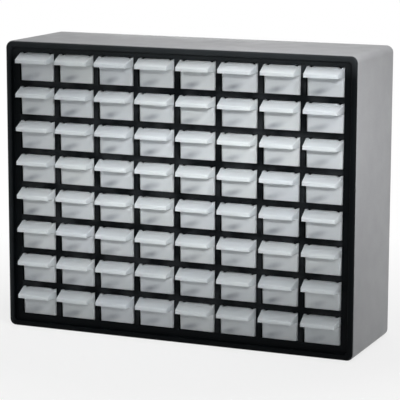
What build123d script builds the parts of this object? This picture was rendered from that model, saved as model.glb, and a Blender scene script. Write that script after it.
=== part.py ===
from build123d import *

import math
import os

# A wall or bench cabinet of small see-through drawers. Millimetres. X is the width, +Z is up and
# the drawers face -Y. The origin is under the middle of the whole cabinet, pulls included.

# Drawer: an open tray, moulded with draft, so its top edge is its widest place
drawer_width = 51.0
drawer_height = 38.0
drawer_length = 137.0
drawer_wall = 1.5
drawer_front_wall = 1.8
drawer_floor = 1.6
drawer_draft_degrees = 0.9
drawer_corner = 1.6

# Pull: an awning across the drawer's front, which fingers hook under
pull_reach = 20.0
pull_slope_degrees = 21.0
pull_lip_height = 4.8
pull_lip_width = 46.5
pull_wall = 1.5
pull_fold_chamfer = 0.8

# Drawer layout
rows = 8
columns = 8
upright_width = 6.85
rail_height = 7.65
bar_depth = 8.0

# Running clearances of a drawer in its mouth
drawer_side_gap = 0.9
drawer_under_gap = 0.3
drawer_over_gap = 1.0

# Stop tabs: two ramps hang into each mouth. The drawer's rear wall rides under them on its way
# in, and catches on their steep backs when it is pulled out
tab_spacing = 40.0
tab_width = 4.0
tab_setback = 0.6
tab_length = 6.0
tab_drop = 3.0

# Front frame: a raised rim round a recessed border
side_margin = 18.825
top_margin = 15.35
bottom_margin = 18.3
rim_width = 8.0
rim_recess = 7.0
rim_lap = 4.0
rim_inset = 0.7
rim_outer_radius = 3.0
rim_inner_chamfer = 1.0
recess_draft_degrees = 7.0
recess_corner_radius = 4.0

# Shell
shell_wall = 2.5
shell_corner_radius = 9.5
shell_rear_radius = 9.0
shell_mouth_chamfer = 0.7
rear_space = 15.5

# Rack of shelves and comb dividers behind the frame
shelf_thickness = 2.2
shelf_overrun = 3.0
divider_thickness = 2.0
slot_gap = 0.15
fit_gap = 0.3

# Keyholes in the back, at the usual spacing of wall studs
keyhole_spacing = 406.4
keyhole_entry_radius = 5.0
keyhole_slot_width = 5.2
keyhole_rise = 9.0
keyhole_drop = 61.6

# Sizes that follow from the ones above
mouth_width = drawer_width + 2 * drawer_side_gap
mouth_height = drawer_under_gap + drawer_height + drawer_over_gap
column_pitch = mouth_width + upright_width
row_pitch = mouth_height + rail_height
field_width = columns * column_pitch - upright_width
field_height = rows * row_pitch - rail_height
case_width = field_width + 2 * side_margin
case_height = bottom_margin + field_height + top_margin
case_depth = rim_recess + drawer_length + rear_space + shell_wall
pull_proud = pull_reach - rim_recess
rim_y = (pull_proud - case_depth) / 2
grid_y = rim_y + rim_recess
rack_y = grid_y + bar_depth
back_y = rim_y + case_depth
inner_width = case_width - 2 * shell_wall
# The flat that would touch a round edge of the same wall at its middle
inner_rear_chamfer = (2 - math.sqrt(2)) * (shell_rear_radius - shell_wall)
keyhole_height = case_height - keyhole_drop
field_middle = bottom_margin + field_height / 2
shelf_back_y = grid_y + drawer_length + shelf_overrun


def upright_slab(sketch, y_start, y_end):
    """Extrudes a sketch of X and Z from y_start back to y_end."""
    return extrude(Plane.XZ.offset(-y_start) * sketch, amount=y_start - y_end)


def centred_outline(inset, radius):
    """A round-cornered outline that lies inset within the cabinet's own on every side."""
    width = case_width - 2 * inset
    height = case_height - 2 * inset
    return Pos(0, case_height / 2) * RectangleRounded(width, height, radius)


def case_outline(inset):
    """The cabinet's rounded outline, taken in by inset on every side."""
    return centred_outline(inset, shell_corner_radius - inset)


def block(x_range, y_range, z_range):
    """A plain block between two corners."""
    corners = zip(x_range, y_range, z_range)
    low, high = (Vector(*corner) for corner in corners)
    size = high - low
    middle = (low + high) / 2
    return Pos(middle) * Box(size.X, size.Y, size.Z)


def row_floor(row):
    """Height of a mouth's lower edge. Row 1 is the top row, and row 0 lies above it."""
    return bottom_margin + (rows - row) * row_pitch


def column_middle(column):
    """X of a column's middle line. Column 1 is on the left."""
    return (column - (columns + 1) / 2) * column_pitch


def keyhole(x):
    """The cutter of one keyhole: a round entry with a narrow slot above it."""
    entry = Circle(keyhole_entry_radius)
    slot = Pos(0, keyhole_rise / 2) * Rectangle(keyhole_slot_width, keyhole_rise)
    top = Pos(0, keyhole_rise) * Circle(keyhole_slot_width / 2)
    outline = Pos(x, keyhole_height) * (entry + slot + top)
    return upright_slab(outline, back_y - 2 * shell_wall, back_y + shell_wall)


def make_shell():
    """The grey outer housing: one moulding, open at the front, with rounded edges at the back."""
    mouth_y = rim_y + rim_lap
    outside = upright_slab(case_outline(0), mouth_y, back_y)
    outside = fillet(outside.faces().sort_by(Axis.Y)[-1].edges(), shell_rear_radius)
    outside = chamfer(outside.faces().sort_by(Axis.Y)[0].edges(), shell_mouth_chamfer)
    inside = upright_slab(case_outline(shell_wall), mouth_y, back_y - shell_wall)
    inside = chamfer(inside.faces().sort_by(Axis.Y)[-1].edges(), inner_rear_chamfer)
    shell = outside - inside
    for x in (-keyhole_spacing / 2, keyhole_spacing / 2):
        shell -= keyhole(x)
    return shell


def stop_tabs(row, column):
    """The two stop tabs that hang from the upper edge of one mouth."""
    top = row_floor(row) + mouth_height
    front = grid_y + tab_setback
    back = front + tab_length
    ramp = make_face(Polyline((front, top), (back, top), (back, top - tab_drop), close=True))
    tab = extrude(Plane.YZ * ramp, amount=tab_width / 2, both=True)
    middle = column_middle(column)
    return [Pos(middle + side * tab_spacing / 2, 0, 0) * tab for side in (-1, 1)]


def make_front_frame():
    """The black moulding that closes the shell's mouth: a raised rim round a recessed border."""
    mouth_y = rim_y + rim_lap
    flange = upright_slab(case_outline(rim_inset), rim_y, mouth_y)
    flange = fillet(flange.faces().sort_by(Axis.Y)[0].edges(), rim_outer_radius)
    plug = upright_slab(case_outline(shell_wall + fit_gap), mouth_y, rack_y)
    wall_lean = rim_recess * math.tan(math.radians(recess_draft_degrees))
    recess_floor = Plane.XZ.offset(-grid_y) * centred_outline(rim_width + wall_lean, recess_corner_radius)
    recess = extrude(recess_floor, amount=rim_recess, taper=-recess_draft_degrees)
    frame = flange + plug - recess
    frame = chamfer(inner_rim_edges(frame), rim_inner_chamfer)
    opening = Pos(0, field_middle) * Rectangle(field_width, field_height)
    frame -= upright_slab(opening, rim_y, rack_y)
    for column in range(1, columns + 1):
        frame += stop_tabs(1, column)
    return frame


def inner_rim_edges(frame):
    """The edges where the rim's flat front meets the walls of the recess."""
    front = frame.faces().sort_by(Axis.Y)[0]
    return front.inner_wires()[0].edges()


def make_shelf(level):
    """One shelf. Level 0 lies under the bottom row.

    Each shelf between two rows carries the rail that shows in front, and the rail carries the
    stop tabs of the row below.
    """
    row = rows - level
    top = row_floor(row)
    half_width = inner_width / 2 - fit_gap
    shelf = block((-half_width, half_width), (rack_y, shelf_back_y), (top - shelf_thickness, top))
    if 0 < level < rows:
        half_field = field_width / 2
        shelf += block((-half_field, half_field), (grid_y, rack_y), (top - rail_height, top))
        for column in range(1, columns + 1):
            shelf += stop_tabs(row + 1, column)
    return shelf


def make_divider(line):
    """One divider: a comb pushed over the shelves from behind, with its spine against the back.

    Each divider between two columns carries the short uprights that show in front.
    """
    x = column_middle(line) + column_pitch / 2
    half = divider_thickness / 2
    z_range = (shell_wall + fit_gap, case_height - shell_wall - fit_gap)
    y_range = (rack_y, back_y - shell_wall - fit_gap)
    divider = trim_rear_corners(block((x - half, x + half), y_range, z_range))
    slot_y = (rack_y, shelf_back_y + slot_gap)
    for level in range(rows + 1):
        top = row_floor(rows - level)
        slot_z = (top - shelf_thickness - slot_gap, top + slot_gap)
        divider -= block((x - half, x + half), slot_y, slot_z)
    if 0 < line < columns:
        half_upright = upright_width / 2
        for row in range(1, rows + 1):
            low = row_floor(row)
            x_range = (x - half_upright, x + half_upright)
            divider += block(x_range, (grid_y, rack_y), (low, low + mouth_height))
    return divider


def trim_rear_corners(divider):
    """Cuts the divider's two rear corners back, where the shell's inner edges are."""
    corners = divider.edges().filter_by(Axis.X).sort_by(Axis.Y)[-2:]
    return chamfer(corners, inner_rear_chamfer)


def make_runner_rack():
    """The rack that carries and guides the drawers, as separate shelves and dividers."""
    shelves = [make_shelf(level) for level in range(rows + 1)]
    dividers = [make_divider(line) for line in range(columns + 1)]
    return shelves + dividers


def drafted_box(width, length, height):
    """A box that is width by length at its top and is drawn in below by the draft."""
    draw_in = height * math.tan(math.radians(drawer_draft_degrees))
    corner = (Align.MIN, Align.MIN, Align.MIN)
    upside_down = Wedge(
        width, height, length, draw_in, draw_in, width - draw_in, length - draw_in, align=corner
    )
    return Pos(-width / 2, 0, height) * Rot(X=-90) * upside_down


def cut_corners(tray):
    """Takes the tray's four upright edges off, as its mould does."""
    return chamfer([edge for edge in tray.edges() if is_upright(edge)], drawer_corner)


def is_upright(edge):
    """True for an edge that runs from the tray's bottom to its top."""
    return edge.bounding_box().size.Z > drawer_height / 2


def pull_block(inset, drop):
    """The pull's outline in space, taken in by inset at its sides and lip and by drop on top.

    It is what the side profile and the plan, which narrows towards the lip, have in common.
    """
    slope = math.tan(math.radians(pull_slope_degrees))
    root_y = drawer_front_wall / 2
    lip_y = -pull_reach + inset
    lip_top = drawer_height - pull_reach * slope
    lip_bottom = lip_top - pull_lip_height - drop
    profile = Polyline(
        (root_y, drawer_height - drop),
        (0, drawer_height - drop),
        (lip_y, drawer_height - drop + lip_y * slope),
        (lip_y, lip_bottom),
        (root_y, lip_bottom),
        close=True,
    )
    root_half = drawer_width / 2 - inset
    lip_half = pull_lip_width / 2 - inset
    plan = Polyline(
        (-root_half, root_y),
        (root_half, root_y),
        (lip_half, -pull_reach),
        (-lip_half, -pull_reach),
        close=True,
    )
    side = extrude(Plane.YZ * make_face(profile), amount=drawer_width, both=True)
    return side & extrude(make_face(plan), amount=drawer_height)


def make_drawer():
    """One drawer with the middle of its front top edge over the origin and its floor at Z 0."""
    slope = math.radians(pull_slope_degrees)
    pull = pull_block(0, 0)
    fold_z = drawer_height - pull_reach * math.tan(slope)
    fold = [e for e in pull.edges().filter_by(Axis.X) if abs(e.center().Z - fold_z) < 0.01]
    pull = chamfer(fold, pull_fold_chamfer)
    pull -= pull_block(pull_wall, pull_wall / math.cos(slope))
    tray = cut_corners(drafted_box(drawer_width, drawer_length, drawer_height))
    drawer = tray + pull
    room_length = drawer_length - drawer_front_wall - drawer_wall
    room = drafted_box(drawer_width - 2 * drawer_wall, room_length, drawer_height - drawer_floor)
    drawer -= Pos(0, drawer_front_wall, drawer_floor) * room
    return drawer


def place_drawer(drawer, row, column):
    """The drawer pushed home in its mouth."""
    return Pos(column_middle(column), grid_y, row_floor(row) + drawer_under_gap) * drawer


def save(name, solids):
    """Writes one node: a single solid, or several as a group."""
    shape = solids[0] if len(solids) == 1 else Compound(children=solids)
    export_step(shape, os.path.join("parts", name + ".step"))


def main():
    os.makedirs("parts", exist_ok=True)
    save("shell", [make_shell()])
    save("front_frame", [make_front_frame()])
    save("runner_rack", make_runner_rack())
    drawer = make_drawer()
    # The bottom row shares one node, because a set holds no more than 60 files
    for row in range(1, rows):
        for column in range(1, columns + 1):
            save(f"drawer_r{row}c{column}", [place_drawer(drawer, row, column)])
    save("drawers_row_8", [place_drawer(drawer, rows, column) for column in range(1, columns + 1)])
    travel = drawer_length - drawer_wall - tab_setback - tab_length
    print(f"case {case_width:.2f} x {case_height:.2f} x {case_depth:.2f}, travel to the stop {travel:.1f}")


main()
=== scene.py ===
import math

import bmesh
import bpy
from mathutils import Matrix, Vector


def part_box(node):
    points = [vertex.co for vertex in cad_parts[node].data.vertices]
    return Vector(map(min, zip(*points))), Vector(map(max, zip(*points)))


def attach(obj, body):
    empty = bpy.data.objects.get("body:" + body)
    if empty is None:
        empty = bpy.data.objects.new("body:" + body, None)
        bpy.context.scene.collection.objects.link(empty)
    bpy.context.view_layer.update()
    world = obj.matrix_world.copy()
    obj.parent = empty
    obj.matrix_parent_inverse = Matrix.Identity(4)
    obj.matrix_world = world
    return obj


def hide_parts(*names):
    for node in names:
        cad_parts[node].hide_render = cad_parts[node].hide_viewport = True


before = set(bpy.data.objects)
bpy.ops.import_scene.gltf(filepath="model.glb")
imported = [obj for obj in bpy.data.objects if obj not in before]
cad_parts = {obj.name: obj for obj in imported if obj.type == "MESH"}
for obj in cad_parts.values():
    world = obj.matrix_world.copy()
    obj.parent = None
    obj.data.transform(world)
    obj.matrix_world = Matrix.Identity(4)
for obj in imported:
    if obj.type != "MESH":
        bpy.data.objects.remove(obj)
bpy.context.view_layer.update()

# The photograph's camera: its place in metres and its turns in degrees
CAMERA_PLACE = Vector((1.00088, -2.37032, 0.65181))
CAMERA_AZIMUTH = 22.77
CAMERA_RISE = 10.28
CAMERA_ROLL = 0.17
CAMERA_LENS = 170.75
SENSOR_WIDTH = 36.0

# Joining up the CAD's triangles: points this near are one, and faces this near to flat are one
SAME_POINT = 1e-6
FLAT = math.radians(1.0)

# Rounding of moulded edges, in metres, where faces meet more sharply than SHARP
SHARP = math.radians(25)
DRAWER_EDGE = 0.0005
FRAME_EDGE = 0.0004
SHELL_EDGE = 0.0003
EDGE_STEPS = 3

# The drawers of the last row share one CAD node
COLUMNS = 8

# Ribs on a drawer's side walls, in pairs, that a divider card would slide between
RIB_WIDTH = 0.0011
RIB_PROUD = 0.0009
RIB_SPACING = 0.0032
RIB_SINK = 0.0004
RIB_DROP = 0.0040
DRAWER_WALL = 0.0015
DRAWER_FRONT_WALL = 0.0018
DRAWER_FLOOR = 0.0016
PULL_REACH = 0.020
DRAFT = math.tan(math.radians(0.9))

# Rounding of a drawer's pull: its front corners, seen from above, and the fold along its lip
PULL_SLOPE = math.radians(21)
PULL_LIP_HALF = 0.02325
PULL_ROOT_HALF = 0.0254
PULL_CORNER = 0.0032
PULL_FOLD = 0.0028
ARC_STEPS = 10

# The painted shadow low on a drawer's front, a grey streak where shade falls under the pull: its
# middle, from the front's own middle and foot, its slant and its half sizes
PULL_SHADOW_SIDE = -0.010
PULL_SHADOW_HEIGHT = 0.0052
PULL_SHADOW_SLANT = math.radians(17)
PULL_SHADOW_SIZE = (0.021, 0.006, 0.0065)

# Where the painted highlight on the front frame starts and where it is strongest, in metres: Z on
# its top border, where light from above falls, and X on its left rim, where a reflection falls. The
# third gives how far it goes there
HIGHLIGHT_TOP_Z = (0.372, 0.394)
HIGHLIGHT_LEFT_X = (-0.2455, -0.2505)
HIGHLIGHT_MOST = (0.55, 0.45)

# Notches in a drawer's top edge, through which the frame's two stop tabs show
NOTCH_SPACING = 0.040
NOTCH_WIDTH = 0.0046
NOTCH_DEPTH = 0.0012
NOTCH_REACH = 0.0045

# Colours, linear. A pair holds the two tones that the plastic wanders between
SHELL_TONES = (0.288, 0.292, 0.304), (0.316, 0.320, 0.330)
SHELL_FLECK = (0.35, 0.35, 0.36)
SHELL_WORN = (0.44, 0.44, 0.45)
FRAME_TONES = (0.0012, 0.0020, 0.0026), (0.0024, 0.0034, 0.0042)
# The next colour is the frame's edge wear together with painted highlight on its edges
FRAME_WEAR_AND_SHEEN = (0.030, 0.033, 0.036)
# The next colour is painted highlight for the frame's top border and left rim
FRAME_HIGHLIGHT = (0.046, 0.052, 0.056)
DRAWER_COOL = (0.84, 0.88, 0.92), (0.89, 0.925, 0.955)
DRAWER_WARM = (0.845, 0.885, 0.89), (0.895, 0.93, 0.935)
# The next colour is the painted shadow under a drawer's pull
PULL_SHADOW_TONE = (0.36, 0.39, 0.43)
WHITE = (1.0, 1.0, 1.0, 1.0)
FLOOR_TONE = (0.92, 0.92, 0.92, 1.0)

# Spots: name, place, target, watts, cone in degrees, and the beam's width over its height
SPOT_RADIUS = 0.15
SPOTS = (
    ("key", (1.546, -1.344, 1.801), (0.02, 0, 0.22), 108, 11, 1.9),
    ("fill", (1.222, -2.116, 1.089), (0.02, 0, 0.225), 240, 8.6, 2.1),
)

# Area lamps: name, place, target, watts and size
AREA_LAMPS = (
    ("near", (0.317, -0.68, 1.499), (0, 0, 0.2), 2.5, 0.5),
    ("side", (2.2, -0.2, 0.5), (0, 0, 0.1), 9, 1.2),
    ("top", (0, 0.2, 2.4), (0, 0, 0.2), 15, 1.8),
    ("back", (-0.9, 2.2, 0.25), (0, 0, 0.2), 11, 0.5),
)
SKY_STRENGTH = 0.18

# The floor: half its width, how white it is near the cabinet and far off, and how far off those are
FLOOR_HALF = 8.0
FLOOR_WHITE = (0.76, 1.0)
FLOOR_REACH = (0.30, 0.75)


# ---- Meshes ----

def moulded_shape(node):
    """A bmesh of a CAD node, with the triangles of each flat face joined up again."""
    shape = bmesh.new()
    shape.from_mesh(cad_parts[node].data)
    bmesh.ops.remove_doubles(shape, verts=shape.verts, dist=SAME_POINT)
    bmesh.ops.dissolve_limit(
        shape,
        angle_limit=FLAT,
        verts=shape.verts,
        edges=shape.edges,
    )
    return shape


def finished_mesh(name, shape, edge):
    """Turns a bmesh into a mesh whose sharp edges are rounded by edge."""
    mesh = bpy.data.meshes.new(name)
    shape.to_mesh(mesh)
    shape.free()
    for polygon in mesh.polygons:
        polygon.use_smooth = True
    blank = bpy.data.objects.new(name, mesh)
    bpy.context.scene.collection.objects.link(blank)
    bevel = blank.modifiers.new("edge", "BEVEL")
    bevel.width = edge
    bevel.segments = EDGE_STEPS
    bevel.limit_method = "ANGLE"
    bevel.angle_limit = SHARP
    bevel.harden_normals = True
    bpy.context.view_layer.update()
    shown = blank.evaluated_get(bpy.context.evaluated_depsgraph_get())
    rounded = bpy.data.meshes.new_from_object(shown)
    rounded.name = name
    bpy.data.objects.remove(blank)
    return rounded


def add_piece(name, mesh, body, slot, *nodes, shift=(0, 0, 0)):
    """Puts a mesh in the scene as a piece that stands for some CAD nodes."""
    piece = bpy.data.objects.new(name, mesh)
    piece.location = shift
    bpy.context.scene.collection.objects.link(piece)
    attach(piece, body)
    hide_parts(*nodes)
    return piece


def add_block(shape, low, high):
    """Adds a closed block between two corners to a bmesh."""
    size = high - low
    place = Matrix.Translation((low + high) / 2) @ Matrix.Diagonal((*size, 1))
    bmesh.ops.create_cube(shape, size=1, matrix=place)


def add_ribs(shape, low, high):
    """Adds the divider ribs to a drawer whose box runs from low to high."""
    middle_x = (low.x + high.x) / 2
    middle_y = (low.y + PULL_REACH + high.y) / 2
    rib_top = high.z - RIB_DROP
    half_room = (high.x - low.x) / 2 - DRAWER_WALL - (high.z - low.z) * DRAFT
    for side in (-1, 1):
        for pair in (-1, 1):
            y = middle_y + pair * RIB_SPACING / 2
            outer = middle_x + side * (half_room + RIB_SINK + RIB_DROP * DRAFT)
            inner = middle_x + side * (half_room - RIB_PROUD)
            foot = low.z + DRAWER_FLOOR - RIB_SINK
            add_block(
                shape,
                Vector((min(outer, inner), y - RIB_WIDTH / 2, foot)),
                Vector((max(outer, inner), y + RIB_WIDTH / 2, rib_top)),
            )


def carved(mesh, cutter):
    """A copy of a mesh with a closed bmesh taken out of it."""
    bmesh.ops.recalc_face_normals(cutter, faces=cutter.faces)
    cutter_mesh = bpy.data.meshes.new("cutter")
    cutter.to_mesh(cutter_mesh)
    cutter.free()
    tool = bpy.data.objects.new("cutter", cutter_mesh)
    blank = bpy.data.objects.new("blank", mesh)
    for item in (tool, blank):
        bpy.context.scene.collection.objects.link(item)
    cut = blank.modifiers.new("cut", "BOOLEAN")
    cut.operation = "DIFFERENCE"
    cut.solver = "EXACT"
    cut.object = tool
    bpy.context.view_layer.update()
    shown = blank.evaluated_get(bpy.context.evaluated_depsgraph_get())
    result = bpy.data.meshes.new_from_object(shown)
    for item in (tool, blank):
        bpy.data.objects.remove(item)
    return result


def notch_cutter(low, high):
    """What the two notches for the stop tabs take out of the top edge of a drawer's front."""
    middle_x = (low.x + high.x) / 2
    near_y = low.y + PULL_REACH - NOTCH_REACH
    far_y = low.y + PULL_REACH + DRAWER_FRONT_WALL + NOTCH_DEPTH
    cutter = bmesh.new()
    for side in (-1, 1):
        x = middle_x + side * NOTCH_SPACING / 2
        add_block(
            cutter,
            Vector((x - NOTCH_WIDTH / 2, near_y, high.z - NOTCH_DEPTH)),
            Vector((x + NOTCH_WIDTH / 2, far_y, high.z + NOTCH_DEPTH)),
        )
    return cutter


def add_rounding(cutter, corner, first, second, radius, along):
    """Adds what rounding a sharp edge takes off. The edge runs along a vector from corner,
    between two faces that leave it in the directions first and second."""
    half = first.angle(second) / 2
    inward = (first + second).normalized()
    centre = corner + inward * radius / math.sin(half)
    start = corner + first * radius / math.tan(half)
    end = corner + second * radius / math.tan(half)
    outline = [
        centre + (start - centre).slerp(end - centre, i / ARC_STEPS)
        for i in range(ARC_STEPS + 1)
    ]
    outline += [end - inward * radius, start - inward * radius]
    near = [cutter.verts.new(point) for point in outline]
    far = [cutter.verts.new(point + along) for point in outline]
    cutter.faces.new(near)
    cutter.faces.new(far)
    for i in range(len(outline)):
        cutter.faces.new((near[i - 1], near[i], far[i], far[i - 1]))


def corner_cutter(low, high):
    """What rounds the pull's two front corners, seen from above."""
    cutter = bmesh.new()
    for side in (-1, 1):
        corner = Vector(((low.x + high.x) / 2 + side * PULL_LIP_HALF, low.y, low.z))
        inward = Vector((-side, 0, 0))
        back = Vector((side * (PULL_ROOT_HALF - PULL_LIP_HALF), PULL_REACH, 0)).normalized()
        add_rounding(cutter, corner, inward, back, PULL_CORNER, Vector((0, 0, high.z - low.z)))
    return cutter


def fold_cutter(low, high):
    """What rounds the fold between the pull's sloping top and its lip."""
    cutter = bmesh.new()
    corner = Vector((low.x, low.y, high.z - PULL_REACH * math.tan(PULL_SLOPE)))
    up = Vector((0, math.cos(PULL_SLOPE), math.sin(PULL_SLOPE)))
    down = Vector((0, 0, -1))
    add_rounding(cutter, corner, down, up, PULL_FOLD, Vector((high.x - low.x, 0, 0)))
    return cutter


# ---- Materials ----

def new_material(name):
    """An empty node material with its Principled shader."""
    material = bpy.data.materials.new(name)
    material.use_nodes = True
    nodes = material.node_tree.nodes
    return material, nodes, material.node_tree.links, nodes["Principled BSDF"]


def noise(nodes, links, place, scale, detail=2.0, rough=0.5):
    """A noise texture on the piece's own coordinates, and its value."""
    texture = nodes.new("ShaderNodeTexNoise")
    texture.inputs["Scale"].default_value = scale
    texture.inputs["Detail"].default_value = detail
    texture.inputs["Roughness"].default_value = rough
    links.new(place, texture.inputs["Vector"])
    return texture.outputs["Fac"]


def spread(nodes, links, value, low, high, from_low=0.3, from_high=0.7):
    """Maps a noise value on to a range."""
    span = nodes.new("ShaderNodeMapRange")
    span.inputs["From Min"].default_value = from_low
    span.inputs["From Max"].default_value = from_high
    span.inputs["To Min"].default_value = low
    span.inputs["To Max"].default_value = high
    links.new(value, span.inputs["Value"])
    return span.outputs["Result"]


def blend_colours(nodes, links, factor, first, second):
    """Mixes two colours, each a value or a socket, by a factor."""
    mix = nodes.new("ShaderNodeMix")
    mix.data_type = "RGBA"
    for value, socket in ((first, mix.inputs["A"]), (second, mix.inputs["B"])):
        if isinstance(value, bpy.types.NodeSocket):
            links.new(value, socket)
        else:
            socket.default_value = (*value, 1.0)
    links.new(factor, mix.inputs["Factor"])
    return mix.outputs["Result"]


def combined(nodes, links, operation, first, second, clamp=False):
    """A Math node on two values."""
    node = nodes.new("ShaderNodeMath")
    node.operation = operation
    node.use_clamp = clamp
    links.new(first, node.inputs[0])
    links.new(second, node.inputs[1])
    return node.outputs["Value"]


def distance(nodes, links, vector):
    """The length of a vector."""
    node = nodes.new("ShaderNodeVectorMath")
    node.operation = "LENGTH"
    links.new(vector, node.inputs[0])
    return node.outputs["Value"]


def moulded_grain(nodes, links, place, shader, scale, strength, depth):
    """The fine matt grain that a textured mould leaves."""
    bump = nodes.new("ShaderNodeBump")
    bump.inputs["Strength"].default_value = strength
    bump.inputs["Distance"].default_value = depth
    links.new(noise(nodes, links, place, scale, 3.0, 0.6), bump.inputs["Height"])
    links.new(bump.outputs["Normal"], shader.inputs["Normal"])


def object_place(nodes):
    """The piece's own coordinates, in metres."""
    return nodes.new("ShaderNodeTexCoord").outputs["Object"]


def edge_wear(nodes, links, place, most):
    """How worn the surface is: 0 on flat faces, up to most on patches of the outward edges."""
    sharpness = nodes.new("ShaderNodeNewGeometry").outputs["Pointiness"]
    sharp = spread(nodes, links, sharpness, 0.0, most, 0.52, 0.62)
    patch = spread(nodes, links, noise(nodes, links, place, 30.0, 4.0), 0.0, 1.0, 0.42, 0.62)
    return combined(nodes, links, "MULTIPLY", sharp, patch)


def shell_plastic():
    """Light grey plastic with a fine matt grain, faint rubs and paler worn edges."""
    material, nodes, links, shader = new_material("shell_plastic")
    place = object_place(nodes)
    cloud = spread(nodes, links, noise(nodes, links, place, 7.0), 0.0, 1.0)
    fleck = spread(nodes, links, noise(nodes, links, place, 420.0, 2.0), 0.0, 0.35)
    base = blend_colours(nodes, links, cloud, *SHELL_TONES)
    grain = blend_colours(nodes, links, fleck, base, SHELL_FLECK)
    worn = edge_wear(nodes, links, place, 0.5)
    links.new(blend_colours(nodes, links, worn, grain, SHELL_WORN), shader.inputs["Base Color"])
    rub = spread(nodes, links, noise(nodes, links, place, 35.0, 4.0), 0.42, 0.56)
    links.new(rub, shader.inputs["Roughness"])
    shader.inputs["Specular IOR Level"].default_value = 0.25
    moulded_grain(nodes, links, place, shader, 1500.0, 0.35, 0.00008)
    return material


def painted_rim_highlight(nodes, links, place):
    """Painted highlight on the black frame: how much paler it is along its top border, where light
    from above falls, and along its left rim, where a reflection falls."""
    axes = nodes.new("ShaderNodeSeparateXYZ")
    links.new(place, axes.inputs[0])
    top = spread(nodes, links, axes.outputs["Z"], 0.0, HIGHLIGHT_MOST[0], *HIGHLIGHT_TOP_Z)
    left = spread(nodes, links, axes.outputs["X"], 0.0, HIGHLIGHT_MOST[1], *HIGHLIGHT_LEFT_X)
    patch = spread(nodes, links, noise(nodes, links, place, 25.0, 4.0), 0.75, 1.0)
    most = combined(nodes, links, "MAXIMUM", top, left)
    return combined(nodes, links, "MULTIPLY", most, patch)


def frame_plastic():
    """Black plastic with a dull sheen, paler along its edges from wear and painted highlight, with
    painted highlight on its top border and left rim.
    """
    material, nodes, links, shader = new_material("frame_plastic")
    place = object_place(nodes)
    cloud = spread(nodes, links, noise(nodes, links, place, 12.0), 0.0, 1.0)
    base = blend_colours(nodes, links, cloud, *FRAME_TONES)
    # Paler edges: partly wear, partly painted highlight where light catches the rounded edges
    worn = edge_wear(nodes, links, place, 0.55)
    rubbed_and_sheen = blend_colours(nodes, links, worn, base, FRAME_WEAR_AND_SHEEN)
    # Painted highlight: a paler top border and left rim, where light from above and a reflection
    # fall
    highlighted = blend_colours(nodes, links, painted_rim_highlight(nodes, links, place), rubbed_and_sheen, FRAME_HIGHLIGHT)
    links.new(highlighted, shader.inputs["Base Color"])
    rub = spread(nodes, links, noise(nodes, links, place, 60.0, 4.0), 0.36, 0.50)
    links.new(rub, shader.inputs["Roughness"])
    shader.inputs["Specular IOR Level"].default_value = 0.045
    moulded_grain(nodes, links, place, shader, 1800.0, 0.20, 0.00006)
    return material


def painted_pull_shadow(nodes, links, place, own):
    """Painted shadow on a drawer's front: how grey it is in a soft slanting streak low on the left,
    where shade falls under the pull. How grey a drawer's front is: a soft slanting streak low on
    the left, painted to match the photograph, where it looks like shade under the pull."""
    low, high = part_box("drawer_r1c1")
    pull_shadow = nodes.new("ShaderNodeMapping")
    pull_shadow.vector_type = "TEXTURE"
    pull_shadow.inputs["Location"].default_value = (
        (low[0] + high[0]) / 2 + PULL_SHADOW_SIDE,
        low[1] + PULL_REACH,
        low[2] + PULL_SHADOW_HEIGHT,
    )
    pull_shadow.inputs["Rotation"].default_value = (0, -PULL_SHADOW_SLANT, 0)
    pull_shadow.inputs["Scale"].default_value = PULL_SHADOW_SIZE
    links.new(place, pull_shadow.inputs["Vector"])
    soft = nodes.new("ShaderNodeMapRange")
    soft.interpolation_type = "SMOOTHSTEP"
    soft.inputs["To Min"].default_value = 1.0
    soft.inputs["To Max"].default_value = 0.0
    links.new(distance(nodes, links, pull_shadow.outputs["Vector"]), soft.inputs["Value"])
    patch = spread(nodes, links, noise(nodes, links, own, 45.0), 0.35, 1.0)
    return combined(nodes, links, "MULTIPLY", soft.outputs["Result"], patch)


def own_place(nodes, links, place):
    """The piece's coordinates moved by a random amount of its own, so that drawers differ."""
    move = nodes.new("ShaderNodeVectorMath")
    move.operation = "ADD"
    links.new(place, move.inputs[0])
    links.new(nodes.new("ShaderNodeObjectInfo").outputs["Random"], move.inputs[1])
    return move.outputs["Vector"]


def drawer_plastic():
    """Hazy natural clear plastic, which passes half of the light softly, with a painted shadow
    under its pull.
    """
    material, nodes, links, shader = new_material("drawer_plastic")
    place = object_place(nodes)
    own = own_place(nodes, links, place)
    cloud = spread(nodes, links, noise(nodes, links, own, 25.0), 0.0, 1.0)
    tint = spread(nodes, links, noise(nodes, links, own, 6.0), 0.0, 1.0)
    cool = blend_colours(nodes, links, cloud, *DRAWER_COOL)
    warm = blend_colours(nodes, links, cloud, *DRAWER_WARM)
    base = blend_colours(nodes, links, tint, cool, warm)
    # Painted shadow: a grey streak where shade falls under the pull
    pull_shadow = painted_pull_shadow(nodes, links, place, own)
    links.new(blend_colours(nodes, links, pull_shadow, base, PULL_SHADOW_TONE), shader.inputs["Base Color"])
    rub = spread(nodes, links, noise(nodes, links, own, 60.0), 0.42, 0.54)
    links.new(rub, shader.inputs["Roughness"])
    shader.inputs["Transmission Weight"].default_value = 0.5
    shader.inputs["IOR"].default_value = 1.49
    moulded_grain(nodes, links, place, shader, 120.0, 0.05, 0.00005)
    return material


# ---- Pieces ----

def dress_cabinet():
    """The shell, front frame and rack, with fine edges."""
    grey = shell_plastic()
    black = frame_plastic()
    for node, edge, slot, material in (
        ("shell", SHELL_EDGE, "shell_plastic", grey),
        ("front_frame", FRAME_EDGE, "frame_plastic", black),
        ("runner_rack", FRAME_EDGE, "frame_plastic", black),
    ):
        mesh = finished_mesh(node + "_fine", moulded_shape(node), edge)
        mesh.materials.clear()
        mesh.materials.append(material)
        add_piece(node + "_fine", mesh, "cabinet", slot, node)


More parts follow.
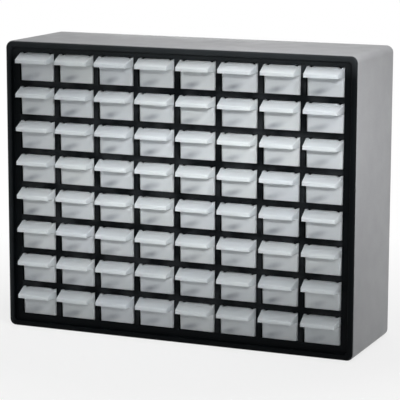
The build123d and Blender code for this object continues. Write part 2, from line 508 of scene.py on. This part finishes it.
def dress_drawers():
    """Every drawer, from one mesh."""
    pattern = "drawer_r1c1"
    low, high = (Vector(corner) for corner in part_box(pattern))
    tray = bpy.data.meshes.new("tray")
    moulded_shape(pattern).to_mesh(tray)
    for make_cutter in (notch_cutter, corner_cutter, fold_cutter):
        tray = carved(tray, make_cutter(low, high))
    shape = bmesh.new()
    shape.from_mesh(tray)
    add_ribs(shape, low, high)
    mesh = finished_mesh("drawer_fine", shape, DRAWER_EDGE)
    mesh.materials.clear()
    mesh.materials.append(drawer_plastic())
    for node in sorted(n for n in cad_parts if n.startswith("drawer_")):
        shift = Vector(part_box(node)[0]) - low
        add_piece("tray_" + node[len("drawer_"):], mesh, node, "drawer_plastic", node, shift=shift)
    row_low = Vector(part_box("drawers_row_8")[0])
    pitch = Vector(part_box("drawer_r1c2")[0]) - low
    for column in range(COLUMNS):
        shift = row_low - low + pitch * column
        name = f"tray_r8c{column + 1}"
        add_piece(name, mesh, "drawers_row_8", "drawer_plastic", "drawers_row_8", shift=shift)


# ---- Studio ----

def set_camera():
    """The photograph's view."""
    azimuth, rise, roll = (math.radians(a) for a in (CAMERA_AZIMUTH, CAMERA_RISE, CAMERA_ROLL))
    back = Vector((
        math.sin(azimuth) * math.cos(rise),
        -math.cos(azimuth) * math.cos(rise),
        math.sin(rise),
    ))
    right = (-back).cross(Vector((0, 0, 1))).normalized()
    up = right.cross(-back)
    across = right * math.cos(roll) + up * math.sin(roll)
    upward = up * math.cos(roll) - right * math.sin(roll)
    turn = Matrix((across, upward, back)).transposed()
    data = bpy.data.cameras.new("camera")
    data.lens = CAMERA_LENS
    data.sensor_width = SENSOR_WIDTH
    camera = bpy.data.objects.new("camera", data)
    camera.matrix_world = Matrix.Translation(CAMERA_PLACE) @ turn.to_4x4()
    bpy.context.scene.collection.objects.link(camera)
    bpy.context.scene.camera = camera


def add_lamp(name, place, target, kind, power):
    """A lamp that faces a point."""
    data = bpy.data.lights.new(name, kind)
    data.energy = power
    lamp = bpy.data.objects.new(name, data)
    lamp.location = place
    lamp.rotation_euler = (Vector(target) - Vector(place)).to_track_quat("-Z", "Y").to_euler()
    bpy.context.scene.collection.objects.link(lamp)
    return lamp


def backdrop_rays(nodes, links):
    """1 for rays from the camera, a gloss or a clear plastic, which all see the plain backdrop."""
    path = nodes.new("ShaderNodeLightPath")
    total = path.outputs["Is Camera Ray"]
    for kind in ("Is Glossy Ray", "Is Transmission Ray"):
        total = combined(nodes, links, "ADD", total, path.outputs[kind], clamp=True)
    return total


def set_world():
    """An even pale sky, which looks white."""
    world = bpy.data.worlds.new("world")
    world.use_nodes = True
    bpy.context.scene.world = world
    nodes, links = world.node_tree.nodes, world.node_tree.links
    sky = nodes["Background"]
    sky.inputs["Color"].default_value = WHITE
    sky.inputs["Strength"].default_value = SKY_STRENGTH
    white = nodes.new("ShaderNodeBackground")
    white.inputs["Color"].default_value = WHITE
    white.inputs["Strength"].default_value = 1.0
    mix = nodes.new("ShaderNodeMixShader")
    links.new(backdrop_rays(nodes, links), mix.inputs["Fac"])
    links.new(sky.outputs["Background"], mix.inputs[1])
    links.new(white.outputs["Background"], mix.inputs[2])
    links.new(mix.outputs["Shader"], nodes["World Output"].inputs["Surface"])


def add_floor():
    """A pale floor that keeps the cabinet's shadow and fades into the white background."""
    mesh = bpy.data.meshes.new("floor")
    half = FLOOR_HALF
    corners = [(-half, -half, 0), (half, -half, 0), (half, half, 0), (-half, half, 0)]
    mesh.from_pydata(corners, [], [(0, 1, 2, 3)])
    floor = bpy.data.objects.new("floor", mesh)
    bpy.context.scene.collection.objects.link(floor)
    material, nodes, links, shader = new_material("floor")
    shader.inputs["Base Color"].default_value = FLOOR_TONE
    shader.inputs["Roughness"].default_value = 0.9
    shader.inputs["Specular IOR Level"].default_value = 0.1
    glow = nodes.new("ShaderNodeEmission")
    glow.inputs["Color"].default_value = WHITE
    away = distance(nodes, links, object_place(nodes))
    far = spread(nodes, links, away, *FLOOR_WHITE, *FLOOR_REACH)
    seen = combined(nodes, links, "MULTIPLY", far, backdrop_rays(nodes, links))
    mix = nodes.new("ShaderNodeMixShader")
    links.new(seen, mix.inputs["Fac"])
    links.new(shader.outputs["BSDF"], mix.inputs[1])
    links.new(glow.outputs["Emission"], mix.inputs[2])
    links.new(mix.outputs["Shader"], nodes["Material Output"].inputs["Surface"])
    mesh.materials.append(material)


def light_studio():
    """A raised key and a lower fill from the front right, brightest on the middle rows, and soft
    light from all round."""
    for name, place, target, power, cone, widen in SPOTS:
        lamp = add_lamp(name, place, target, "SPOT", power)
        lamp.data.shadow_soft_size = SPOT_RADIUS
        lamp.data.spot_size = math.radians(cone)
        lamp.data.spot_blend = 1.0
        lamp.scale = (widen, 1, 1)
    for name, place, target, power, size in AREA_LAMPS:
        add_lamp(name, place, target, "AREA", power).data.size = size


dress_cabinet()
dress_drawers()
set_camera()
set_world()
add_floor()
light_studio()
bpy.context.scene.view_settings.view_transform = "Standard"
